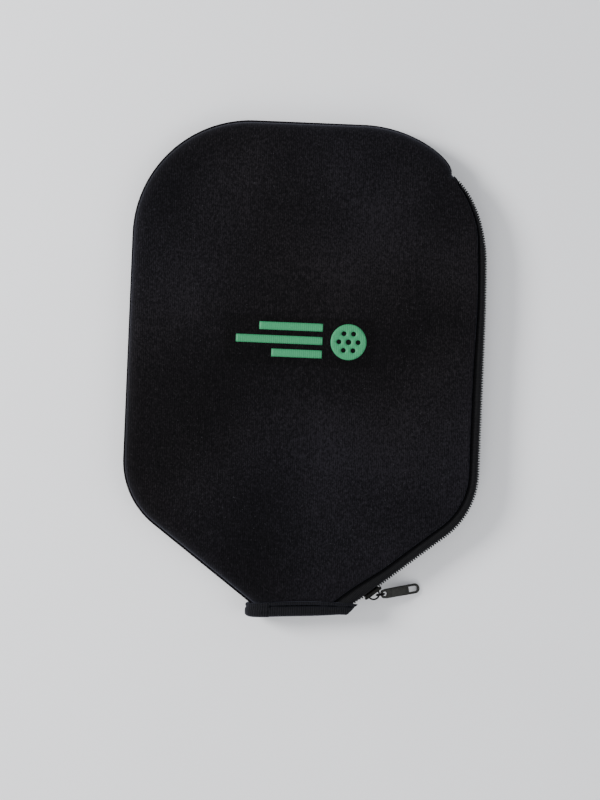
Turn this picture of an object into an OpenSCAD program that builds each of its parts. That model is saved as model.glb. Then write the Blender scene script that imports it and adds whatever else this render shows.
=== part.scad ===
// Zipped foam case for a pickleball paddle, lying on its back panel.
// X is the width, Y runs from the mouth to the top edge, Z rises from the back panel to the front panel.

/* [Case] */
// Width from the side seam to the zipper teeth
case_w = 220; // [216:1:226]
// Length from the top edge to the fold of the mouth binding
case_l = 306; // [302:1:312]
// Thickness with the pocket open
case_t = 20; // [20:0.5:22]
// Thickness of a foam panel
panel_t = 3; // [2.5:0.25:3]
// Corner radius at the top of the seam side
top_left_r = 73; // [66:1:80]
// Corner radius at the top of the zipper side
top_right_r = 80; // [74:1:84]
// Radius of both shoulders
shoulder_r = 50; // [44:1:54]
// Height of the shoulder corners above the middle
shoulder_y = -84; // [-86:1:-80]

/* [Mouth] */
// Left end of the mouth
mouth_left = -30; // [-32:1:-28]
// Right end of the mouth
mouth_right = 36; // [34:1:38]
// Height of the mouth binding
binding_h = 9.5; // [8:0.5:11]

/* [Zipper] */
// Degrees from the side line up the top corner at which the zipper ends
zip_top_angle = 40; // [36:1:44]
// Height of the coil above its tape
coil_h = 2.2; // [2:0.1:2.4]
// Width of one coil half
coil_w = 2; // [1.8:0.1:2]
// Distance of the slider from the mouth end of the chain
slider_at = 14; // [12:1:20]
// Length of the slider
slider_l = 11.5; // [10.5:0.5:12]
// Length of the pull tab
tab_l = 26; // [24:1:28]
// Width of the pull tab
tab_w = 5.8; // [5:0.2:6]

/* [Print] */
// Width of the printed mark
print_w = 80; // [70:1:84]
// Height of the middle of the printed mark
print_y = 18; // [10:1:24]

/* [Hidden] */
$fn = 64;

mid_z = case_t / 2;
half_w = case_w / 2;
top_y = case_l / 2;
mouth_y = -case_l / 2 + binding_h;
big = 1000;
lining_t = 0.4;

// Rim: a quarter ring that turns each panel down to the seam between them.
rim_r = mid_z - 1;
seam_z = mid_z + 0.3;
front_inset = 0.8;
wall_in = front_inset + panel_t;

// Zipper side, as distances inward from the outer face of the coil.
edge_in = 5.3;
tape_t = 0.6;
tape_in = coil_h + 0.1;
facing_r = 1.7;
facing_in = 3.6;
facing_z = case_t - 3.1;
tail_in = 9.5;
coil_gap = 1.8;
coil_z0 = mid_z + coil_gap / 2;
thread_r = 0.25;

// Fold of the front panel, from beside the mouth's closed end to a little below the zipper's top end.
fold_angle_on_corner = 28;
fold_mouth_x = -9;
fold_gap = 0.4;
strip_angle = zip_top_angle - 6;

function unit(v) = v / norm(v);
function left_of(v) = [-v[1], v[0]];
function polar(c, r, a) = c + r * [cos(a), sin(a)];

// A rounded corner of a clockwise outline: [centre, radius, angle where it starts, angle where it ends].
function corner(p, v, q, r) =
    let (a = unit(v - p), b = unit(q - v), turn = acos(a * b), n = left_of(a))
    let (start = v - a * r * tan(turn / 2), a0 = atan2(n[1], n[0]))
    [start - n * r, r, a0, a0 - turn];
function corner_start(c) = polar(c[0], c[1], c[2]);
function corner_end(c) = polar(c[0], c[1], c[3]);

mouth_l = [mouth_left, mouth_y];
mouth_r = [mouth_right, mouth_y];
shoulder_left = corner(mouth_l, [-half_w, shoulder_y], [-half_w, top_y], shoulder_r);
top_left = corner([-half_w, shoulder_y], [-half_w, top_y], [half_w, top_y], top_left_r);
top_right = corner([-half_w, top_y], [half_w, top_y], [half_w, shoulder_y], top_right_r);
shoulder_right = corner([half_w, top_y], [half_w, shoulder_y], mouth_r, shoulder_r);

past_mouth = 14;
seam_dir = unit(corner_start(shoulder_left) - mouth_l);
zip_dir = unit(mouth_r - corner_end(shoulder_right));

// Points of the whole outline, moved inward by seam_in on the seam side and zip_in on the zipper side.
arc_steps = 24;
function arc_points(c, d) =
    [for (i = [0:arc_steps]) polar(c[0], c[1] - d, c[2] + (c[3] - c[2]) * i / arc_steps)];
function inset_outline(seam_in, zip_in) = concat(
    [mouth_l - seam_dir * past_mouth - left_of(seam_dir) * seam_in],
    arc_points(shoulder_left, seam_in),
    arc_points(top_left, seam_in),
    arc_points([top_right[0], top_right[1], top_right[2], zip_top_angle], seam_in),
    arc_points([top_right[0], top_right[1], zip_top_angle, top_right[3]], zip_in),
    arc_points(shoulder_right, zip_in),
    [mouth_r + zip_dir * past_mouth - left_of(zip_dir) * zip_in]
);

// Half spaces.
module above_mouth() translate([-big / 2, mouth_y, -big / 2]) cube(big);
fold_p = [fold_mouth_x, mouth_y];
fold_q = polar(top_right[0], top_right[1], fold_angle_on_corner);
fold_a = atan2(fold_q[1] - fold_p[1], fold_q[0] - fold_p[0]);
module fold_side(side)
    translate([fold_p[0], fold_p[1], 0])
        rotate([0, 0, fold_a])
            translate([-big / 2, side > 0 ? -big - fold_gap / 2 : fold_gap / 2, -big / 2]) cube(big);
module flap_part() intersection() { children(); fold_side(1); }
module fixed_part() intersection() { children(); fold_side(-1); }
module back_side() translate([0, 0, case_t]) mirror([0, 0, 1]) children();

// Closed sections, as loops of [distance inward from the outline, height].
tape_z = facing_z - facing_r - 0.1;
facing_loop = concat(
    [for (a = [30:30:330]) [facing_in + facing_r * cos(a), facing_z + facing_r * sin(a)]],
    [[tail_in, facing_z - facing_r + 0.2], [tail_in, facing_z - 0.3]],
    [[facing_in + facing_r - 0.03, facing_z - 0.3]]
);
tape_loop = [
    [tail_in, tape_z], [tape_in, tape_z], [tape_in, coil_z0], [tape_in + tape_t, coil_z0],
    [tape_in + tape_t, tape_z - tape_t], [tail_in, tape_z - tape_t]
];
coil_bevel = 0.4;
coil_loop = [
    [coil_h, coil_z0 + coil_w], [coil_bevel, coil_z0 + coil_w], [0, coil_z0 + coil_w - coil_bevel],
    [0, coil_z0 + coil_bevel], [coil_bevel, coil_z0], [coil_h, coil_z0]
];
function thread_loop(d, z) = [for (a = [30:60:330]) [d + thread_r * cos(a), z + thread_r * sin(a)]];
seam_binding_loop = [
    [wall_in + 5.3, mid_z + 1.4], [wall_in + 0.3, mid_z + 1.4],
    [wall_in + 0.3, mid_z - 1.2], [wall_in + 5.3, mid_z - 1.2]
];

// Panels. Each section is a list of [distance inward from the outline, height], from the outer face round
// the edge to the inner face, and all sections have the same number of entries.
edge_half = panel_t / 2;
front_seam_section = concat(
    [for (a = [90:-15:0]) [front_inset + rim_r - rim_r * cos(a), mid_z + 1 + rim_r * sin(a)]],
    [[front_inset, seam_z], [wall_in, seam_z]],
    [for (a = [0:22.5:90]) [front_inset + rim_r - (rim_r - panel_t) * cos(a),
                            mid_z + 1 + (rim_r - panel_t) * sin(a)]]
);
back_seam_section = concat(
    [for (a = [90:-15:0]) [rim_r - rim_r * cos(a), mid_z - 1 - rim_r * sin(a)]],
    [[0, seam_z - 0.02], [panel_t, seam_z - 0.02]],
    [for (a = [0:22.5:90]) [rim_r - (rim_r - panel_t) * cos(a), mid_z - 1 - (rim_r - panel_t) * sin(a)]]
);
rings = len(front_seam_section);
front_edge_section = [for (k = [0:rings - 1])
    let (a = 90 - 180 * k / (rings - 1))
    [edge_in + edge_half - edge_half * cos(a), case_t - edge_half + edge_half * sin(a)]];
back_edge_section = [for (s = front_edge_section) [s[0], case_t - s[1]]];

// Entries of an outline: [point, inward direction, section].
function arc_entries(c, section, steps, first) =
    [for (i = [first:steps])
        let (a = c[2] + (c[3] - c[2]) * i / steps)
        [polar(c[0], c[1], a), [-cos(a), -sin(a)], section]];
function cut_entry(p, out, along, section) = [p, along / -(along * out), section];
seam_out = left_of(seam_dir);
zip_out = left_of(zip_dir);
fold_dir = [cos(fold_a), sin(fold_a)];
fold_out = [cos(fold_angle_on_corner), sin(fold_angle_on_corner)];
fold_right = [fold_dir[1], -fold_dir[0]] * fold_gap / 2;

function seam_entries(section) = concat(
    [cut_entry(mouth_l, seam_out, [1, 0], section)],
    arc_entries(shoulder_left, section, 9, 0),
    arc_entries(top_left, section, 16, 0),
    arc_entries([top_right[0], top_right[1], top_right[2], zip_top_angle], section, 9, 0)
);
function zip_entries(from_angle, section) = concat(
    arc_entries([top_right[0], top_right[1], from_angle, top_right[3]], section, 8, 0),
    arc_entries(shoulder_right, section, 9, 0),
    [cut_entry(mouth_r, zip_out, [-1, 0], section)]
);
fixed_outline = concat(
    seam_entries(front_seam_section),
    arc_entries([top_right[0], top_right[1], strip_angle, fold_angle_on_corner + 1],
                front_edge_section, 2, 0),
    [cut_entry(fold_q - fold_right, fold_out, -fold_dir, front_edge_section)]
);
flap_outline = concat(
    [cut_entry(fold_q + fold_right, fold_out, -fold_dir, front_edge_section)],
    zip_entries(fold_angle_on_corner - 9, front_edge_section)
);
back_outline = concat(seam_entries(back_seam_section), zip_entries(strip_angle, back_edge_section));

module shell(outline, corners, z_out, z_in) {
    n = len(outline);
    pts = concat(
        [for (e = outline) for (s = e[2]) [e[0][0] + e[1][0] * s[0], e[0][1] + e[1][1] * s[0], s[1]]],
        [for (c = corners) each [[c[0], c[1], z_out], [c[0], c[1], z_in]]]
    );
    start_cut = [for (k = [rings - 1:-1:0]) k];
    end_cut = [for (k = [0:rings - 1]) (n - 1) * rings + k];
    extra = n * rings;
    faces = concat(
        [for (i = [0:n - 2]) for (k = [0:rings - 2])
            each [[i * rings + k, i * rings + k + 1, (i + 1) * rings + k + 1],
                  [i * rings + k, (i + 1) * rings + k + 1, (i + 1) * rings + k]]],
        [concat([for (i = [0:n - 1]) i * rings], len(corners) > 0 ? [extra] : [])],
        [concat(len(corners) > 0 ? [extra + 1] : [], [for (i = [n - 1:-1:0]) i * rings + rings - 1])],
        len(corners) > 0
            ? [concat(end_cut, [extra + 1, extra]), concat([extra, extra + 1], start_cut)]
            : [concat(end_cut, start_cut)]
    );
    polyhedron(pts, faces, convexity = 10);
}

// Sweeps a closed section along entries of an outline.
module sweep(outline, loop) {
    n = len(outline);
    m = len(loop);
    pts = [for (e = outline) for (q = loop) [e[0][0] + e[1][0] * q[0], e[0][1] + e[1][1] * q[0], q[1]]];
    faces = concat(
        [for (i = [0:n - 2]) for (k = [0:m - 1])
            let (a = i * m + k, b = i * m + (k + 1) % m)
            each [[a, b, b + m], [a, b + m, a + m]]],
        [[for (k = [m - 1:-1:0]) k]],
        [[for (k = [0:m - 1]) (n - 1) * m + k]]
    );
    polyhedron(pts, faces, convexity = 10);
}

fold_mouth_left = [fold_mouth_x - fold_gap / 2 / sin(fold_a), mouth_y];
fold_mouth_right = [fold_mouth_x + fold_gap / 2 / sin(fold_a), mouth_y];
module front_panel() color([0.05, 0.05, 0.06])
    shell(fixed_outline, [fold_mouth_left], case_t, case_t - panel_t);
module front_flap() color([0.05, 0.05, 0.06])
    shell(flap_outline, [fold_mouth_right], case_t, case_t - panel_t);
module back_panel() color([0.05, 0.05, 0.06]) shell(back_outline, [], 0, panel_t);

module plate(z, t, seam_in, zip_in)
    translate([0, 0, z]) linear_extrude(t) polygon(inset_outline(seam_in, zip_in));
module lining_blank()
    intersection() {
        plate(case_t - panel_t - lining_t, lining_t, front_inset + rim_r, tail_in + 0.5);
        above_mouth();
    }
module front_lining() color([0.1, 0.1, 0.11]) fixed_part() lining_blank();
module flap_lining() color([0.1, 0.1, 0.11]) flap_part() lining_blank();
module back_lining() color([0.1, 0.1, 0.11]) back_side() lining_blank();

// Bound seam allowance inside the side seam, and the thread in its groove outside.
module seam_binding() color([0.08, 0.08, 0.09]) sweep(seam_entries([]), seam_binding_loop);
module side_seam_thread() color([0.12, 0.12, 0.13])
    sweep(seam_entries([]), thread_loop(front_inset - thread_r, seam_z + thread_r));

// Mouth binding, a folded tape that runs across the front, round the closed end and across the back.
bind_t = 3;
bind_in = 0.5;
mouth_end_dx = 5;
module before_mouth_end()
    translate([mouth_right, mouth_y, 0])
        rotate([0, 0, atan2(binding_h, mouth_end_dx)])
            translate([-big / 2, 0, -big / 2]) cube(big);
module band(out, t)
    rotate([90, 0, 0]) linear_extrude(binding_h) {
        intersection() {
            difference() {
                translate([mouth_left + mid_z, mid_z]) circle(mid_z - out);
                translate([mouth_left + mid_z, mid_z]) circle(mid_z - out - t);
            }
            translate([mouth_left - 1, -1]) square([mid_z + 1, case_t + 2]);
        }
        length = mouth_right - mouth_left - mid_z;
        translate([mouth_left + mid_z, case_t - out - t]) square([length, t]);
        translate([mouth_left + mid_z, out]) square([length, t]);
    }
module band_blank()
    intersection() {
        translate([0, mouth_y, 0]) band(bind_in, bind_t);
        before_mouth_end();
    }
module front_only() intersection() { children(); translate([-big / 2, -big / 2, mid_z]) cube(big); }
module mouth_binding() color([0.07, 0.07, 0.07])
    difference() {
        band_blank();
        intersection() {
            translate([-big / 2, -big / 2, mid_z]) cube(big);
            fold_side_wide();
        }
    }
module fold_side_wide()
    translate([fold_p[0], fold_p[1], 0])
        rotate([0, 0, fold_a])
            translate([-big / 2, -big + fold_gap / 2, -big / 2]) cube(big);
module mouth_binding_flap() color([0.07, 0.07, 0.07]) flap_part() front_only() band_blank();

// Row of stitches across the mouth binding.
stitch_y = mouth_y - 3.5;
module stitch_row(from_x, to_x, z)
    translate([from_x, stitch_y, z]) rotate([0, 90, 0]) cylinder(r = thread_r, h = to_x - from_x, $fn = 16);
module mouth_thread() color([0.12, 0.12, 0.13])
    stitch_row(mouth_left + mid_z, mouth_right - 4, bind_in - thread_r);
module mouth_thread_flap() color([0.12, 0.12, 0.13])
    stitch_row(fold_mouth_x + 0.5, mouth_right - 4, case_t - bind_in + thread_r);

// Zipper.
back_strip = zip_entries(strip_angle, []);
top_strip = concat(
    arc_entries([top_right[0], top_right[1], strip_angle, fold_angle_on_corner + 1], [], 2, 0),
    [cut_entry(fold_q - fold_right, fold_out, -fold_dir, [])]
);
module zip_facing_flap() color([0.07, 0.07, 0.08]) sweep(flap_outline, facing_loop);
module zip_facing_top() color([0.07, 0.07, 0.08]) sweep(top_strip, facing_loop);
module zip_facing_back() color([0.07, 0.07, 0.08]) back_side() sweep(back_strip, facing_loop);
module zip_thread_flap() color([0.12, 0.12, 0.13])
    sweep(flap_outline, thread_loop(tape_in + 4, tape_z - tape_t - thread_r));
module zip_thread_back() color([0.12, 0.12, 0.13])
    back_side() sweep(back_strip, thread_loop(tape_in + 4, tape_z - tape_t - thread_r));
module zip_tape_flap() color([0.06, 0.06, 0.06]) sweep(flap_outline, tape_loop);
module zip_tape_back() color([0.06, 0.06, 0.06]) back_side() sweep(back_strip, tape_loop);
module zip_coil_flap() color([0.1, 0.1, 0.1]) sweep(flap_outline, coil_loop);
module zip_coil_back() color([0.1, 0.1, 0.1]) back_side() sweep(back_strip, coil_loop);
module zip_closed_end() color([0.1, 0.1, 0.1]) {
    sweep(top_strip, tape_loop);
    sweep(top_strip, coil_loop);
}

// Stops: a clamp over both coils at the top and one on each coil at the mouth.
module zip_top_stop() color([0.3, 0.3, 0.3])
    translate([top_right[0][0], top_right[0][1], 0])
        rotate([0, 0, strip_angle - 3])
            rotate_extrude(angle = 2) {
                translate([top_right_r + 0.05, mid_z - 3.5]) square([0.7, 7]);
                translate([top_right_r - coil_h - 0.1, mid_z - 0.8]) square([coil_h + 0.2, 1.6]);
            }
module end_stop()
    slider_frame(2)
        translate([-1.25, -0.75, coil_z0 - mid_z]) cube([2.5, 0.7, coil_w]);
module zip_end_stop_flap() color([0.3, 0.3, 0.3]) end_stop();
module zip_end_stop_back() color([0.3, 0.3, 0.3]) back_side() end_stop();

// Slider and pull. Here x runs along the chain away from the mouth, and y runs into the case.
slide_a = atan2(-zip_dir[1], -zip_dir[0]);
module slider_frame(d)
    translate([mouth_r[0] - zip_dir[0] * d, mouth_r[1] - zip_dir[1] * d, mid_z])
        rotate([0, 0, slide_a]) children();

plate_y = 0.9;
plate_t = 1.2;
plate_h = 8;
module slider_plate(y)
    translate([0, y, 0]) rotate([90, 0, 0])
        linear_extrude(plate_t)
            intersection() {
                square([slider_l, plate_h], center = true);
                circle(slider_l / 2 + 0.5);
            }
module slider_body() color([0.24, 0.24, 0.22])
    slider_frame(slider_at) {
        slider_plate(-plate_y);
        slider_plate(tape_in + tape_t + 0.5 + plate_t);
        translate([-slider_l / 2 + 1, -plate_y - 0.2, -0.6])
            cube([2.6, plate_y + tape_in + tape_t + 0.9, 1.2]);
    }

bridge_r = 4;
bridge_w = 1.2;
bridge_y = -plate_y - plate_t;
module slider_bridge() color([0.24, 0.24, 0.22])
    slider_frame(slider_at)
        translate([0, bridge_y, -bridge_w / 2])
            linear_extrude(bridge_w)
                intersection() {
                    difference() {
                        circle(bridge_r);
                        circle(bridge_r - bridge_w);
                    }
                    translate([-10, -20]) square(20);
                }

// The ring stands upright in the direction of the pull tab.
pull_a = -27;
ring_R = 2.5;
ring_r = 0.45;
wire = [(bridge_r - bridge_w / 2) * cos(-45), bridge_y + (bridge_r - bridge_w / 2) * sin(-45), 0];
ring_off = 0.9;
tab_off = 1.9;
tab_tilt = 21.3;
module link_ring() color([0.28, 0.28, 0.27])
    slider_frame(slider_at)
        translate(wire) rotate([0, 0, pull_a]) translate([ring_off, 0, 0])
            rotate([90, 0, 0]) rotate_extrude() translate([ring_R, 0]) circle(ring_r, $fn = 32);

tab_t = 1;
bar = 1.1;
module pull_tab() color([0.24, 0.24, 0.22])
    slider_frame(slider_at)
        translate(wire) rotate([0, 0, pull_a]) translate([tab_off, 0, 0])
            rotate([0, tab_tilt, 0])
                translate([-bar / 2, 0, -tab_t / 2])
                    linear_extrude(tab_t)
                        difference() {
                            union() {
                                translate([1.4, -tab_w / 2]) square([tab_l - 1.4 - tab_w / 2, tab_w]);
                                translate([tab_l - tab_w / 2, 0]) circle(tab_w / 2);
                                translate([0, -tab_w / 2 + 0.6]) square([1.8, tab_w - 1.2]);
                            }
                            translate([bar, -1.7]) square([2.8, 3.4]);
                            translate([tab_l - 7.2, -1.9]) square([4, 3.8]);
                            translate([tab_l - 3.2, 0]) circle(1.9);
                        }

// Printed mark: three bars beside a ball with round holes.
print_t = 0.1;
bar_h = 4.8;
bar_row = 8.2;
bar_end = 13;
module bar_mark(x0, y)
    translate([x0, y - bar_h / 2]) square([bar_end - x0, bar_h]);
module front_print() color([0.24, 0.67, 0.42])
    translate([-3, print_y, case_t])
        linear_extrude(print_t) {
            ball = 11;
            ball_x = print_w / 2 - ball;
            difference() {
                translate([ball_x, 0]) circle(ball);
                translate([ball_x, 0]) circle(1.7);
                for (a = [0:60:300])
                    translate([ball_x + 5.9 * cos(a), 5.9 * sin(a)]) circle(1.5);
            }
            bar_mark(-print_w / 2, 0);
            bar_mark(-print_w / 2 + 14, bar_row);
            bar_mark(-print_w / 2 + 22, -bar_row);
        }

front_panel();
front_flap();
back_panel();
front_lining();
flap_lining();
back_lining();
seam_binding();
side_seam_thread();
mouth_binding();
mouth_binding_flap();
mouth_thread();
mouth_thread_flap();
zip_facing_flap();
zip_facing_top();
zip_facing_back();
zip_thread_flap();
zip_thread_back();
zip_tape_flap();
zip_tape_back();
zip_coil_flap();
zip_coil_back();
zip_closed_end();
zip_top_stop();
zip_end_stop_flap();
zip_end_stop_back();
slider_body();
slider_bridge();
link_ring();
pull_tab();
front_print();
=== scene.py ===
"""Looks of the zipped paddle case: jersey panels, facings, zipper, slider and pull, bound mouth and print."""

import math

import bmesh
import bpy
import numpy as np
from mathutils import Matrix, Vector
from mathutils.geometry import delaunay_2d_cdt


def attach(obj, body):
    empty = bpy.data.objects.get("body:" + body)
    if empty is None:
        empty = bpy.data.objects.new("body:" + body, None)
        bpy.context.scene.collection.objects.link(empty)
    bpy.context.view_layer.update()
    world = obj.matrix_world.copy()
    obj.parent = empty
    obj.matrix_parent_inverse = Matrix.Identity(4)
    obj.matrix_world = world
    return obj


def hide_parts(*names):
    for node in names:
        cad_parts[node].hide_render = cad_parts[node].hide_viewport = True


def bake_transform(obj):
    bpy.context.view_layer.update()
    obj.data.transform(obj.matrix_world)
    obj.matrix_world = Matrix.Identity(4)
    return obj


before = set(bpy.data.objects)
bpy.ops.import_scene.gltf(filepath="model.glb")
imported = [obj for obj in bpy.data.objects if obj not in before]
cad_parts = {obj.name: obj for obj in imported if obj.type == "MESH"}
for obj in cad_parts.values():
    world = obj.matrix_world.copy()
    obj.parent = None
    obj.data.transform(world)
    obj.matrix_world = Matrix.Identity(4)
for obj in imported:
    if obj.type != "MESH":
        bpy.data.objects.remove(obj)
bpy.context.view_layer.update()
MM = 0.001

# ------------------------------------------------------------------ dimensions, in millimetres
HALF_W, TOP_Y, MOUTH_Y = 110.0, 153.0, -143.5
THICK, MID = 20.0, 10.0
R_TOP_LEFT, R_TOP_RIGHT, R_SHOULDER, SHOULDER_Y = 73.0, 80.0, 50.0, -84.0
MOUTH_L, MOUTH_R = np.array([-30.0, MOUTH_Y]), np.array([36.0, MOUTH_Y])
PANEL_T, LINING_T = 3.0, 0.4
ZIP_TOP = 42.0            # degrees up the top right corner at which the zipper starts
SLIDER_AT = 14.0
MOUTH_END_X = -18.5       # centre of the turn at the mouth's closed end
PRINT_Y = 18.0


def unit(v):
    v = np.asarray(v, float)
    return v / np.linalg.norm(v)


def left(v):
    return np.array([-v[1], v[0]])


def corner(p, v, q, r):
    """The arc of radius r that rounds corner v between p and q: centre, radius, start angle and end angle."""
    p, v, q = (np.asarray(a, float) for a in (p, v, q))
    a, b = unit(v - p), unit(q - v)
    turn = math.acos(float(np.dot(a, b)))
    start = v - a * r * math.tan(turn / 2)
    n = left(a)
    a0 = math.atan2(n[1], n[0])
    return start - n * r, r, a0, a0 - turn


def smooth(x, a, b):
    """0 below a and 1 above b, with an easy change between."""
    t = np.clip((np.asarray(x, float) - a) / (b - a), 0, 1)
    return t * t * (3 - 2 * t)


SH_L = corner(MOUTH_L, (-HALF_W, SHOULDER_Y), (-HALF_W, TOP_Y), R_SHOULDER)
T_L = corner((-HALF_W, SHOULDER_Y), (-HALF_W, TOP_Y), (HALF_W, TOP_Y), R_TOP_LEFT)
T_R = corner((-HALF_W, TOP_Y), (HALF_W, TOP_Y), (HALF_W, SHOULDER_Y), R_TOP_RIGHT)
SH_R = corner((HALF_W, TOP_Y), (HALF_W, SHOULDER_Y), MOUTH_R, R_SHOULDER)


def arc_point(c, angle):
    return c[0] + c[1] * np.array([math.cos(angle), math.sin(angle)])


def arc_end(c, which):
    return arc_point(c, c[which])


SEAM_DIR = unit(arc_end(SH_L, 2) - MOUTH_L)
ZIP_DIR = unit(MOUTH_R - arc_end(SH_R, 3))


class Path:
    """The outline from the mouth's closed end round to its zipper end, as points and outward normals."""

    def __init__(self, step, past=4.6):
        pts, nrm, ang = [], [], []

        def line(a, b):
            n = max(2, int(np.linalg.norm(b - a) / step))
            o = left(unit(b - a))
            for i in range(n):
                pts.append(a + (b - a) * i / n)
                nrm.append(o)
                ang.append(0)

        def arc(c, tag):
            n = max(3, int(c[1] * abs(c[3] - c[2]) / step))
            for i in range(n):
                a = c[2] + (c[3] - c[2]) * i / n
                o = np.array([math.cos(a), math.sin(a)])
                pts.append(c[0] + c[1] * o)
                nrm.append(o)
                ang.append(math.degrees(a) if tag else 0)

        start = MOUTH_L - SEAM_DIR * past
        end = MOUTH_R + ZIP_DIR * past
        line(start, arc_end(SH_L, 2))
        arc(SH_L, 0)
        line(arc_end(SH_L, 3), arc_end(T_L, 2))
        arc(T_L, 0)
        line(arc_end(T_L, 3), arc_end(T_R, 2))
        self.top_right_from = len(pts)
        arc(T_R, 1)
        self.side_from = len(pts)
        line(arc_end(T_R, 3), arc_end(SH_R, 2))
        arc(SH_R, 0)
        line(arc_end(SH_R, 3), end)
        pts.append(end)
        nrm.append(left(ZIP_DIR))
        ang.append(0)
        self.p, self.out, ang = np.array(pts), np.array(nrm), np.array(ang)
        seg = np.linalg.norm(np.diff(self.p, axis=0), axis=1)
        self.s = np.concatenate([[0], np.cumsum(seg)])
        self.to_mouth = self.s[-1] - past - self.s
        idx = np.arange(len(pts))
        self.ang = np.where((idx >= self.top_right_from) & (idx < self.side_from), ang,
                            np.where(idx < self.top_right_from, 90.0, 0.0))
        after = idx >= self.side_from
        down = np.where(after, np.linalg.norm(self.p - arc_end(T_R, 3), axis=1), 0)
        turn = np.where(after, -down / 3.0, self.ang)
        # the rim pulls in on either side of the zipper's top, and leaves a notch there
        below = 0.3 + 1.8 * smooth(turn, -14, 14) + 2.4 * np.exp(-np.maximum(ZIP_TOP - turn, 0) / 9.0)
        above = 4.5 * np.exp(-np.maximum(turn - ZIP_TOP, 0) / 3.6)
        dip = np.where(turn > ZIP_TOP, above, below)
        self.p = self.p - self.out * (dip * (idx >= self.top_right_from))[:, None]
        self.zip = np.where(idx >= self.top_right_from, smooth(-self.ang, -ZIP_TOP - 1.5, -ZIP_TOP + 3), 0.0)
        self.zip = np.where(after, 1.0, self.zip)
        # how far inside the zipper the panel's own edge lies
        self.edge = (3.5 * smooth(-turn, -ZIP_TOP - 1, -35) + 0.4 * smooth(-turn, -32, -22)
                     + 1.7 * smooth(-turn, -16, 0) + 1.1 * smooth(-turn, 4, 24) + 0.7 * smooth(-turn, 40, 62))
        self.seam = 0.7 + 0.35 * np.sin(self.s / 52.0 + 0.8)
        self.inward = -self.out
        # the two ends run along the mouth
        self.inward[0] = np.array([1.0, 0]) / np.dot([1.0, 0], self.inward[0])
        self.inward[-1] = np.array([-1.0, 0]) / np.dot([-1.0, 0], self.inward[-1])
        self.mouth = 1 - smooth(self.to_mouth, 1, 34)
        self.edge = np.maximum(self.edge, 0.4) + 2.2 * self.mouth + 0.15 * np.sin(self.s / 17.0)

    def part(self, mask):
        """The masked points of the path, with all that goes with them."""
        q = object.__new__(Path)
        for k, v in self.__dict__.items():
            setattr(q, k, v[mask] if isinstance(v, np.ndarray) else v)
        return q


def at(path, d):
    """Points of the path moved inward by d, a number or one per point."""
    return path.p + path.inward * np.broadcast_to(np.asarray(d, float), (len(path.p),))[:, None]


def frame_at(path, s):
    """The point, outward direction and direction along the path at length s."""
    p = np.array([np.interp(s, path.s, path.p[:, j]) for j in range(2)])
    out = unit([np.interp(s, path.s, path.out[:, j]) for j in range(2)])
    return p, out, np.array([out[1], -out[0]])


# ------------------------------------------------------------------ materials
WALE = 1.25                        # width of one knit column, in millimetres
SHEEN_TINT = (0.75, 0.78, 1.0, 1)


def nodes_of(name):
    """A new material with a bare Principled shader."""
    m = bpy.data.materials.new(name)
    m.use_nodes = True
    nt = m.node_tree
    nt.nodes.clear()
    out = nt.nodes.new("ShaderNodeOutputMaterial")
    bsdf = nt.nodes.new("ShaderNodeBsdfPrincipled")
    nt.links.new(bsdf.outputs[0], out.inputs[0])
    return m, nt, bsdf


def feed(nt, n, **inputs):
    """Links or sets a node's inputs by name, with an underscore for each space."""
    for key, value in inputs.items():
        socket = n.inputs[key.replace("_", " ")]
        if isinstance(value, bpy.types.NodeSocket):
            nt.links.new(value, socket)
        else:
            socket.default_value = value
    return n


def math_node(nt, op, a, b=0.0):
    n = nt.nodes.new("ShaderNodeMath")
    n.operation = op
    for i, v in enumerate((a, b)):
        if isinstance(v, (int, float)):
            n.inputs[i].default_value = v
        else:
            nt.links.new(v, n.inputs[i])
    return n.outputs[0]


def weighted(nt, *terms):
    """The sum of each texture times its weight."""
    total = None
    for source, weight in terms:
        part = math_node(nt, "MULTIPLY", source, weight)
        total = part if total is None else math_node(nt, "ADD", total, part)
    return total


def ramp(nt, source, stops):
    n = nt.nodes.new("ShaderNodeValToRGB")
    els = n.color_ramp.elements
    while len(els) < len(stops):
        els.new(0.5)
    for e, (pos, col) in zip(els, stops):
        e.position = pos
        e.color = (*col, 1)
    nt.links.new(source, n.inputs[0])
    return n.outputs[0]


def mixed(nt, kind, a, b, factor=1.0):
    """Colour a with colour b multiplied or added."""
    n = nt.nodes.new("ShaderNodeMix")
    n.data_type = "RGBA"
    n.blend_type = kind
    return feed(nt, n, Factor=factor, A=a, B=b).outputs["Result"]


def coords(nt, scale=(1, 1, 1), attribute=None):
    if attribute:
        a = nt.nodes.new("ShaderNodeAttribute")
        a.attribute_name = attribute
        src = a.outputs["Vector"]
    else:
        src = nt.nodes.new("ShaderNodeTexCoord").outputs["Object"]
    mp = nt.nodes.new("ShaderNodeMapping")
    mp.inputs["Scale"].default_value = scale
    nt.links.new(src, mp.inputs[0])
    return mp.outputs[0]


def noise(nt, vec, scale, detail=3.0, rough=0.55):
    n = nt.nodes.new("ShaderNodeTexNoise")
    return feed(nt, n, Vector=vec, Scale=scale, Detail=detail, Roughness=rough).outputs["Fac"]


def stripes(nt, vec, scale, distortion, detail=1.0, detail_scale=1.0, direction="X"):
    n = nt.nodes.new("ShaderNodeTexWave")
    n.bands_direction = direction
    feed(nt, n, Vector=vec, Scale=scale, Distortion=distortion, Detail=detail, Detail_Scale=detail_scale)
    return n.outputs["Fac"]


def per(period):
    """The wave texture's scale for a period in millimetres."""
    return 2 * math.pi / (20 * period * MM)


def bump(nt, bsdf, height, distance, strength):
    b = feed(nt, nt.nodes.new("ShaderNodeBump"), Height=height, Strength=strength, Distance=distance)
    nt.links.new(b.outputs[0], bsdf.inputs["Normal"])


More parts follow.
